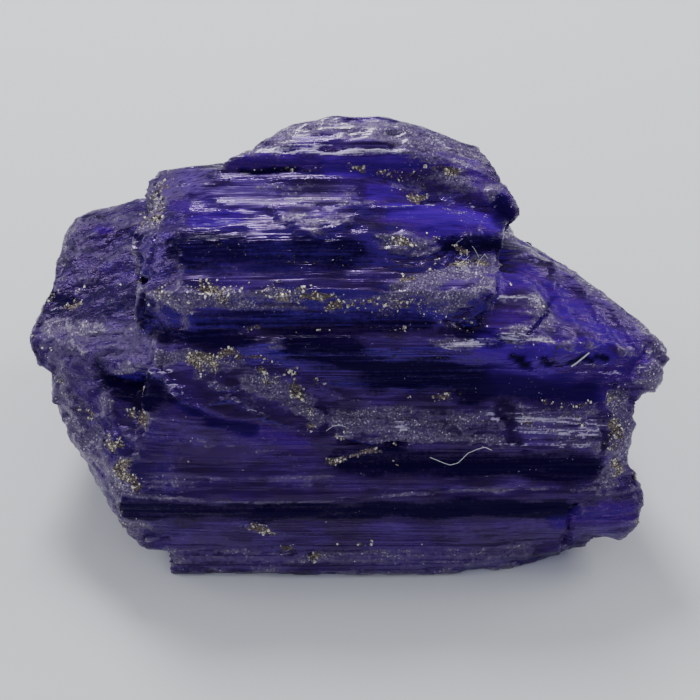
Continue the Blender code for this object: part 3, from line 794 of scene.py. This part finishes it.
for name, values in marks.items():
    kept = crystal.data.attributes.new(name, "FLOAT", "POINT")
    kept.data.foreach_set("value", values.astype(np.float32))
crystal.data.shade_smooth()
crystal.data.set_sharp_from_angle(angle=CREASE)
print("marks kept:", ", ".join(marks))

# %% [markdown]
# ## Writing materials as sums
# A material is a tree of nodes. Long trees are easier to read as sums, so this small class lets an
# expression such as 1 - frost * 0.5 add the Math nodes itself. Every other node comes from one method.

# %% Write the material helper


class Value:
    """A node's output that can be used in a sum."""

    def __init__(self, recipe, socket):
        self.recipe = recipe
        self.socket = socket

    def join(self, operation, first, second):
        return self.recipe.add("ShaderNodeMath", {"operation": operation}, {0: first, 1: second})

    def __add__(self, other):
        return self.join("ADD", self, other)

    def __radd__(self, other):
        return self.join("ADD", other, self)

    def __sub__(self, other):
        return self.join("SUBTRACT", self, other)

    def __rsub__(self, other):
        return self.join("SUBTRACT", other, self)

    def __mul__(self, other):
        return self.join("MULTIPLY", self, other)

    def __rmul__(self, other):
        return self.join("MULTIPLY", other, self)


class Recipe:
    """The node tree of one material."""

    def __init__(self, name):
        self.material = bpy.data.materials.new(name)
        self.material.use_nodes = True
        self.tree = self.material.node_tree
        self.tree.nodes.clear()

    def add(self, kind, settings=None, inputs=None, output=0):
        """One node: its settings are set first, then its sockets get values or links."""
        node = self.tree.nodes.new(kind)
        for name, value in (settings or {}).items():
            setattr(node, name, value)
        for name, value in (inputs or {}).items():
            if isinstance(value, Value):
                self.tree.links.new(value.socket, node.inputs[name])
            else:
                node.inputs[name].default_value = value
        return Value(self, node.outputs[output]) if len(node.outputs) else node

    def mark(self, name):
        """A mark that is kept with the points of the mesh."""
        return self.add("ShaderNodeAttribute", {"attribute_name": name}, output="Fac")

    def spot(self, scale, stretch=(1, 1, 1)):
        """A place in the object's own space, where 1 is 1 / scale millimetres."""
        here = self.add("ShaderNodeTexCoord", output="Object")
        sized = tuple(s * scale / MM for s in stretch)
        return self.add("ShaderNodeMapping", inputs={"Vector": here, "Scale": sized})

    def cloud(self, scale, stretch=(1, 1, 1), detail=2.0):
        """Noise from 0 to 1, with bumps 1 / scale millimetres across."""
        inputs = {"Vector": self.spot(scale, stretch), "Scale": 1.0, "Detail": detail}
        return self.add("ShaderNodeTexNoise", inputs=inputs)

    def cells(self, scale):
        """A different number from 0 to 1 for each small angular cell, 1 / scale millimetres across."""
        inputs = {"Vector": self.spot(scale), "Scale": 1.0}
        return self.add("ShaderNodeTexVoronoi", inputs=inputs, output="Color")

    def between(self, low, high, value):
        """0 below low, 1 above high, and a smooth rise in between."""
        inputs = {"Value": value, "From Min": low, "From Max": high}
        return self.add("ShaderNodeMapRange", {"interpolation_type": "SMOOTHSTEP"}, inputs)

    def blend(self, share, first, second):
        """A mix of two colours."""
        return self.add("ShaderNodeMix", {"data_type": "RGBA"}, {0: share, 6: first, 7: second}, output=2)

    def gloss(self, colour, roughness, **others):
        """A Principled shader. Other sockets are named with _ for each space."""
        inputs = {"Base Color": colour, "Roughness": roughness}
        inputs.update((name.replace("_", " "), value) for name, value in others.items())
        return self.add("ShaderNodeBsdfPrincipled", inputs=inputs)

    def mix(self, share, first, second):
        """A mix of two shaders."""
        return self.add("ShaderNodeMixShader", inputs={0: share, 1: first, 2: second})

    def finish(self, surface, **others):
        """Joins the shader to the material's output."""
        self.add("ShaderNodeOutputMaterial", inputs={"Surface": surface, **others})
        return self.material


print("a recipe adds nodes with one method")

# %% [markdown]
# ## The crystal's patterns
# Growth lines of four widths run along the prism, from broad bands to hairlines, and crumbs, patches and
# mottling break them up. An image could hold them, but it would blur close up. Noise stays sharp, and
# here it is squeezed along the prism until its bumps turn into lines.

# %% Lay out the crystal's patterns
body = Recipe("tanzanite")
frost_mark = body.mark("frost")
haze_mark = body.mark("haze")
grit_mark = body.mark("grit")
dark_spots_and_painted_shade_mark = body.mark("dark")
painted_glow_mark = body.mark("bright")
glint_mark = body.mark("glint")
dull_mark = body.mark("dull")
bands = body.cloud(1.8, stretch=(0.05, 1, 1))
lines = body.cloud(5.0, stretch=(0.018, 1, 1), detail=3.0)
threads = body.cloud(9.0, stretch=(0.012, 1, 1), detail=1.0)
hairlines = body.cloud(18.0, stretch=(0.015, 1, 1))
crumbs = body.cloud(8.0, detail=3.0)
sparks = body.cloud(15.0)
mottle = body.cloud(0.9, detail=3.0)
patches = body.cloud(2.6, stretch=(0.4, 1, 1), detail=4.0)
stains = body.between(0.52, 0.66, body.cloud(3.6, stretch=(0.6, 1, 1), detail=4.0))
flecks = body.cells(24.0) * 0.5 + body.cells(40.0) * 0.5
print("seven marks and", len(body.tree.nodes) - 7, "nodes of pattern")

# %% [markdown]
# ## The colours of the skin
# The skin is what lies on or just under the surface: veils, frost, soil and pale chips. Each is a
# pair of colours, dark and light, blended by its pattern. A single grey frost would look like dust,
# while pairs keep its grains apart. Each layer covers the one before it where its mark is strong.
# Painted light lies in the skin too: painted glow and painted shade in the deep colour, painted
# highlights on the stripes of the veil and along the glints, and painted sparkle among the chips.

# %% Mix the colours of the skin
DEEP = (0.006, 0.0, 0.03, 1), (0.042, 0.0, 0.2, 1)
# Painted glow, bright violet, and painted shade, near black; the shade colour also serves real dark spots.
DEEP_PAINTED_GLOW = (0.125, 0.0, 0.43, 1)
DEEP_DARK_SPOTS_AND_PAINTED_SHADE = (0.003, 0.0, 0.016, 1)
STAINED = (0.03, 0.012, 0.05, 1)
VEIL = (0.07, 0.038, 0.14, 1), (0.1, 0.042, 0.29, 1)
DULL_VEIL = (0.04, 0.03, 0.075, 1), (0.115, 0.088, 0.18, 1)
CRUST = (0.026, 0.012, 0.06, 1), (0.29, 0.24, 0.37, 1)
SOIL = (0.014, 0.01, 0.008, 1), (0.3, 0.24, 0.17, 1)
# Pale chips of rock and mica, which also stand for painted sparkle.
CHIP_SILVER, CHIP_GOLD = (0.66, 0.62, 0.74, 1), (0.66, 0.56, 0.38, 1)
# A painted highlight colour.
PAINTED_GLINT = (0.62, 0.55, 0.8, 1)

striped = bands * 0.3 + lines * 1.3 + threads * 2.0 + hairlines * 0.8 - 2.2
frosted = frost_mark * 0.9 + crumbs * 0.8 + patches * 0.9 + lines * 0.5 - 1.1
frosted = body.between(0.3, 0.8, frosted)
gritty = body.between(0.4, 0.62, grit_mark * 0.8 + crumbs * 0.6 - 0.22)
# The stripes lighten the veil along the growth lines: partly real veils, partly painted highlights on the
# ridges.
hazy = haze_mark * 0.85 + (patches - 0.5) * 0.7 + striped * (0.5 + haze_mark * 0.9)
hazy = body.between(0.0, 1.0, hazy)
grain = body.between(0.34, 0.8, sparks * 0.3 + flecks * 0.45 + hairlines * 0.25)
# Bright flecks: real pale chips, and painted sparkle where a tiny facet would catch the light.
chips_and_painted_sparkle = flecks + frosted * 0.13 + (patches - 0.5) * 0.35 + grit_mark * 0.1
chips_and_painted_sparkle = body.between(0.88, 0.94, chips_and_painted_sparkle)
golden = body.between(0.5, 0.6, body.cells(9.0) + grit_mark * 0.2)
# Painted highlights: bright hairlines where the glint mark is strong.
painted_highlight = glint_mark * 0.45 + lines * 0.5 + hairlines * 1.1 + sparks * 0.4
painted_highlight = body.between(1.42, 1.65, painted_highlight) * 0.8

deep = body.blend(body.between(0.35, 0.65, patches * 0.5 + mottle * 0.5), *DEEP)
# Painted glow, then painted shade, laid into the deep colour.
deep = body.blend(painted_glow_mark, deep, DEEP_PAINTED_GLOW)
deep = body.blend(dark_spots_and_painted_shade_mark * 0.85, deep, DEEP_DARK_SPOTS_AND_PAINTED_SHADE)
deep = body.blend(stains * 0.55 * (1 - dark_spots_and_painted_shade_mark), deep, STAINED)
dull_veil = body.blend(body.between(0.35, 0.65, crumbs), *DULL_VEIL)
veil = body.blend(body.between(0.3, 0.7, mottle), *VEIL)
veil = body.blend(dull_mark * 0.85, veil, dull_veil)
chip_and_sparkle_colour = body.blend(golden * (0.35 + grit_mark * 0.6), CHIP_SILVER, CHIP_GOLD)
skin_colour = body.blend(hazy, deep, veil)
skin_colour = body.blend(frosted * 0.88, skin_colour, body.blend(grain, *CRUST))
skin_colour = body.blend(gritty, skin_colour, body.blend(grain, *SOIL))
# Pale chips with painted sparkle.
skin_colour = body.blend(chips_and_painted_sparkle * 0.85, skin_colour, chip_and_sparkle_colour)
# Painted highlights along the glints.
skin_colour = body.blend(painted_highlight, skin_colour, PAINTED_GLINT)
print("the skin's colour takes", len(body.tree.nodes), "nodes")

# %% [markdown]
# ## The see-through blue-violet
# Clear tanzanite bends light more than glass does, with an index of refraction near 1.69, and it takes
# red and green out of the light, a little with each millimetre. An opaque violet would be simpler, but
# thin places would not light up. So the body is a clear shader with an absorbing volume, and over it lies
# the skin, mixed in by the marks. Some skin is left everywhere, because real crystals are full of tiny
# veils. The deepest and the brightest faces get a third, calm shader with hardly any gloss. Its colour is
# painted: near black as painted shade on the deepest faces, bright violet as painted glow on the
# brightest.

# %% Join skin, clear body and calm faces
BENDING = 1.69
VIOLET_SHINE = (0.55, 0.3, 1.0, 1)
# Painted glow, from deep to bright violet, and painted shade, near black, for the calm shader.
PAINTED_GLOW = (0.012, 0.0, 0.09, 1), (0.1, 0.0, 0.56, 1)
PAINTED_SHADE_TONE = (0.006, 0.0, 0.038, 1)

relief = lines + threads * 0.9 + hairlines * 0.5 + bands * 0.3
relief = relief * (1 - frost_mark * 0.5) + crumbs * (0.1 + frost_mark * 0.6 + grit_mark * 0.6)
bump = body.add("ShaderNodeBump", inputs={"Strength": 0.8, "Distance": 0.035 * MM, "Height": relief})
skin = body.gloss(
    skin_colour,
    0.24 + frosted * 0.15 + gritty * 0.25 + hazy * 0.14,
    IOR=BENDING,
    Specular_IOR_Level=0.3,
    Specular_Tint=VIOLET_SHINE,
    Coat_Weight=frosted * 0.4 + hazy * 0.06,
    Coat_IOR=1.6,
    Coat_Roughness=0.12,
    Normal=bump,
)
clear = body.gloss(
    (0.62, 0.3, 1.0, 1),
    0.08 + frosted * 0.4 + hazy * 0.3,
    IOR=BENDING,
    Transmission_Weight=1.0,
    Specular_IOR_Level=0.3,
    Specular_Tint=VIOLET_SHINE,
    Normal=bump,
)
# The calm shader's colour: painted glow where the bright mark is, painted shade elsewhere.
painted_glow_and_shade_colour = body.blend(painted_glow_mark * (1 - dark_spots_and_painted_shade_mark), PAINTED_SHADE_TONE, body.blend(bands, *PAINTED_GLOW))
painted_glow_and_shade = body.gloss(painted_glow_and_shade_colour, 0.15, Specular_IOR_Level=0.04, Normal=bump)
cover = 0.5 + hazy * 0.35 + frosted * 0.3 + gritty * 0.6 + chips_and_painted_sparkle * 0.5 + painted_highlight
# The calm shader takes over where the painted shade and the painted glow are drawn.
still = dark_spots_and_painted_shade_mark + painted_glow_mark * 0.8 + striped * 0.6 + (crumbs - 0.5) * 0.7
still = body.between(0.0, 0.95, still - frosted * 0.5 - gritty - painted_highlight)
surface = body.mix(body.between(0, 1, cover), clear, skin)
surface = body.mix(still * (1 - chips_and_painted_sparkle), surface, painted_glow_and_shade)
tint = body.add("ShaderNodeVolumeAbsorption", inputs={"Color": (0.45, 0.0, 0.84, 1), "Density": 500.0})
crystal.data.materials.append(body.finish(surface, Volume=tint))
print("the crystal's material has", len(body.tree.nodes), "nodes")

# %% [markdown]
# ## Loose grains
# Grains of rock and mica sit in the hollows and glint. Placing thousands by hand is hopeless, and
# particles would need a vertex group for each mark. Geometry Nodes read the marks as they are: points
# are spread over the surface where a mark is strong, a small angular grain is put on each, and the tree
# makes them real and gives them their material. Few grains are large and most are tiny, as in sand,
# because the random number is raised to its third power.

# %% Build the grain tree
CROWD = 6e8  # grains per square metre at most, far more than the spacing lets in
TURN = 6.28  # a full turn, in radians


def grain_tree():
    """A tree that puts angular grains on a surface where a mark is strong."""
    tree = bpy.data.node_groups.new("grains", "GeometryNodeTree")
    face = tree.interface
    face.new_socket("Geometry", in_out="OUTPUT", socket_type="NodeSocketGeometry")
    for name, kind, value in (
        ("Geometry", "NodeSocketGeometry", None),
        ("Mark", "NodeSocketString", ""),
        ("Spacing", "NodeSocketFloat", 0.0001),
        ("Smallest", "NodeSocketFloat", 0.00001),
        ("Largest", "NodeSocketFloat", 0.00005),
        ("Seed", "NodeSocketInt", 1),
        ("Material", "NodeSocketMaterial", None),
    ):
        socket = face.new_socket(name, in_out="INPUT", socket_type=kind)
        if value is not None:
            socket.default_value = value

    def node(kind, inputs, **settings):
        made = tree.nodes.new(kind)
        for name, value in settings.items():
            setattr(made, name, value)
        for name, value in inputs.items():
            if isinstance(value, bpy.types.NodeSocket):
                tree.links.new(value, made.inputs[name])
            else:
                made.inputs[name].default_value = value
        return made

    def random_vector(low, high, seed):
        inputs = {0: low, 1: high, "Seed": seed}
        return node("FunctionNodeRandomValue", inputs, data_type="FLOAT_VECTOR").outputs[0]

    given = tree.nodes.new("NodeGroupInput").outputs
    mark = node("GeometryNodeInputNamedAttribute", {"Name": given["Mark"]}, data_type="FLOAT")
    strewn = node(
        "GeometryNodeDistributePointsOnFaces",
        {
            "Mesh": given["Geometry"],
            "Distance Min": given["Spacing"],
            "Density Max": CROWD,
            "Density Factor": mark.outputs["Attribute"],
            "Seed": given["Seed"],
        },
        distribute_method="POISSON",
    )
    grain = node("GeometryNodeMeshCube", {"Size": (1.2, 1.2, 1.2)})
    chance = node("FunctionNodeRandomValue", {2: 0.0, 3: 1.0, "Seed": given["Seed"]}, data_type="FLOAT")
    shape = random_vector((0.5, 0.5, 0.3), (1.5, 1.2, 0.9), 7)
    turn = random_vector((0, 0, 0), (TURN, TURN, TURN), 9)
    small = node("ShaderNodeMath", {0: chance.outputs[1], 1: 3.0}, operation="POWER")
    radius = node("ShaderNodeMapRange", {0: small.outputs[0], 3: given["Smallest"], 4: given["Largest"]})
    scaled = node("ShaderNodeVectorMath", {0: shape, "Scale": radius.outputs[0]}, operation="SCALE")
    placed = node(
        "GeometryNodeInstanceOnPoints",
        {
            "Points": strewn.outputs["Points"],
            "Instance": grain.outputs["Mesh"],
            "Rotation": turn,
            "Scale": scaled.outputs[0],
        },
    )
    real = node("GeometryNodeRealizeInstances", {"Geometry": placed.outputs["Instances"]})
    painting = {"Geometry": real.outputs["Geometry"], "Material": given["Material"]}
    painted = node("GeometryNodeSetMaterial", painting)
    node("NodeGroupOutput", {"Geometry": painted.outputs["Geometry"]})
    return tree


GRAIN_TREE = grain_tree()
print("the grain tree has", len(GRAIN_TREE.nodes), "nodes")

# %% Write how grains are scattered


def scatter(name, **values):
    """A piece made by the grain tree on the crystal's surface."""
    piece = link(name, crystal.data.copy())
    grower = piece.modifiers.new("grains", "NODES")
    grower.node_group = GRAIN_TREE
    sockets = {s.name: s.identifier for s in GRAIN_TREE.interface.items_tree if s.in_out == "INPUT"}
    for socket, value in values.items():
        grower[sockets[socket]] = value
    piece.data = plain_mesh(piece)
    print(name, "has", len(piece.data.polygons), "faces")
    return piece


def grain_material(name, dark, light, rough):
    """A hard mineral grain, in two colours that change from grain to grain."""
    recipe = Recipe(name)
    share = recipe.between(0.4, 0.6, recipe.cloud(8.0, detail=1.0))
    shader = recipe.gloss(recipe.blend(share, dark, light), rough + 0.3 * share, IOR=1.6)
    return recipe.finish(shader)


print("the tree can be used for any mark")

# %% [markdown]
# ## Golden grit
# The grit is pale gold and brown, and its largest grains are about a tenth of a millimetre across. In the
# material alone it would be flat spots. As loose grains it casts small shadows and sparkles.

# %% Scatter the golden grit
gold_grit = scatter(
    "gold_grit",
    Mark="grit",
    Spacing=0.045 * MM,
    Smallest=0.01 * MM,
    Largest=0.07 * MM,
    Seed=3,
    Material=grain_material("gold_grit", (0.32, 0.26, 0.19, 1), (1.0, 0.95, 0.84, 1), 0.12),
)

# %% [markdown]
# ## Frost flakes and dark specks
# Frost is made of splinters of the crystal itself, pale and lavender, and much finer than the grit. The
# specks are crumbs of dark rock. Both repeat the same way, so the same tree makes them, with other
# marks, sizes and colours.

# %% Scatter the flakes and the specks
frost_flakes = scatter(
    "frost_flakes",
    Mark="sparkle",
    Spacing=0.05 * MM,
    Smallest=0.008 * MM,
    Largest=0.034 * MM,
    Seed=5,
    Material=grain_material("frost_flakes", (0.3, 0.26, 0.42, 1), (0.85, 0.82, 0.92, 1), 0.08),
)
dark_specks = scatter(
    "dark_specks",
    Mark="speck",
    Spacing=0.07 * MM,
    Smallest=0.012 * MM,
    Largest=0.055 * MM,
    Seed=6,
    Material=grain_material("dark_specks", (0.006, 0.005, 0.006, 1), (0.05, 0.035, 0.025, 1), 0.3),
)

# %% [markdown]
# ## Lint, short hairs and a splinter
# A white fibre lies on the dark front face, with two bends in it. Five short hairs lie in a dirty hollow
# below the crown's tip and a sixth on the scar, and a small pale splinter lies near the pointed end. A
# fibre could be a straight tube over its end points, but it would float over hollows and dive through
# ledges. So each is a thin tube along a curve whose many points are found by sight on the finished
# surface. Each point is lifted by a little less than the tube's radius, so the tube lies on the stone.

# %% Lay the strands
LIFT = 0.4  # of the tube's thickness
white_recipe = Recipe("white_lint")
white_colour = white_recipe.blend(white_recipe.cloud(3.0), (0.75, 0.75, 0.8, 1), (0.95, 0.95, 0.97, 1))
white_lint = white_recipe.finish(white_recipe.gloss(white_colour, 0.55))


def strand(name, stops, thickness):
    """A thin white tube that lies on the crystal, over points found by sight."""
    spots = []
    for step in np.linspace(0, len(stops) - 1, 4 * len(stops)):
        first = min(int(step), len(stops) - 2)
        u, v = Vector(stops[first]).lerp(Vector(stops[first + 1]), step - first)
        spot, normal = sight(u, v)
        spots.append(spot + normal * thickness * LIFT)
    curve = bpy.data.curves.new(name, "CURVE")
    curve.dimensions = "3D"
    curve.bevel_depth = thickness / 2 * MM
    curve.bevel_resolution = 1
    curve.resolution_u = 3
    curve.use_fill_caps = True
    line = curve.splines.new("NURBS")
    line.points.add(len(spots) - 1)
    line.use_endpoint_u = True
    line.order_u = 3
    for point, spot in zip(line.points, spots):
        point.co = (*(spot * MM), 1)
    made = link(name, curve)
    mesh = plain_mesh(made)
    bpy.data.objects.remove(made)
    mesh.materials.append(white_lint)
    return link(name, mesh)


lint_line = [
    (430, 457), (437, 460), (444, 463), (450, 465), (458, 463),
    (463, 458), (468, 453), (477, 449), (485, 447), (492, 450),
]
hair_lines = [
    [(472, 246), (475, 250), (477, 254), (479, 258)],
    [(485, 254), (482, 257), (479, 261), (477, 267)],
    [(469, 256), (465, 260), (462, 262), (458, 264)],
    [(462, 255), (460, 257), (458, 259)],
    [(484, 254), (486, 256), (488, 259)],
    [(326, 431), (333, 426), (340, 425), (346, 427)],
]
lint = strand("lint_fibre", lint_line, 0.022)
hairs = [strand(f"tuft_hair_{i + 1}", line, 0.014) for i, line in enumerate(hair_lines)]
splinter = strand("splinter", [(571, 366), (577, 362), (583, 357), (589, 352)], 0.05)
print("the lint has", len(lint.data.polygons), "faces, and there are", len(hairs), "short hairs")

# %% [markdown]
# ## Handing over
# Each piece rides on the only body. The fine surface stands for the imported crystal, which stays in the
# model for collision.

# %% Hand the pieces over
for piece in (crystal, gold_grit, frost_flakes, dark_specks, lint, splinter, *hairs):
    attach(piece, "root")
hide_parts("tanzanite_crystal")
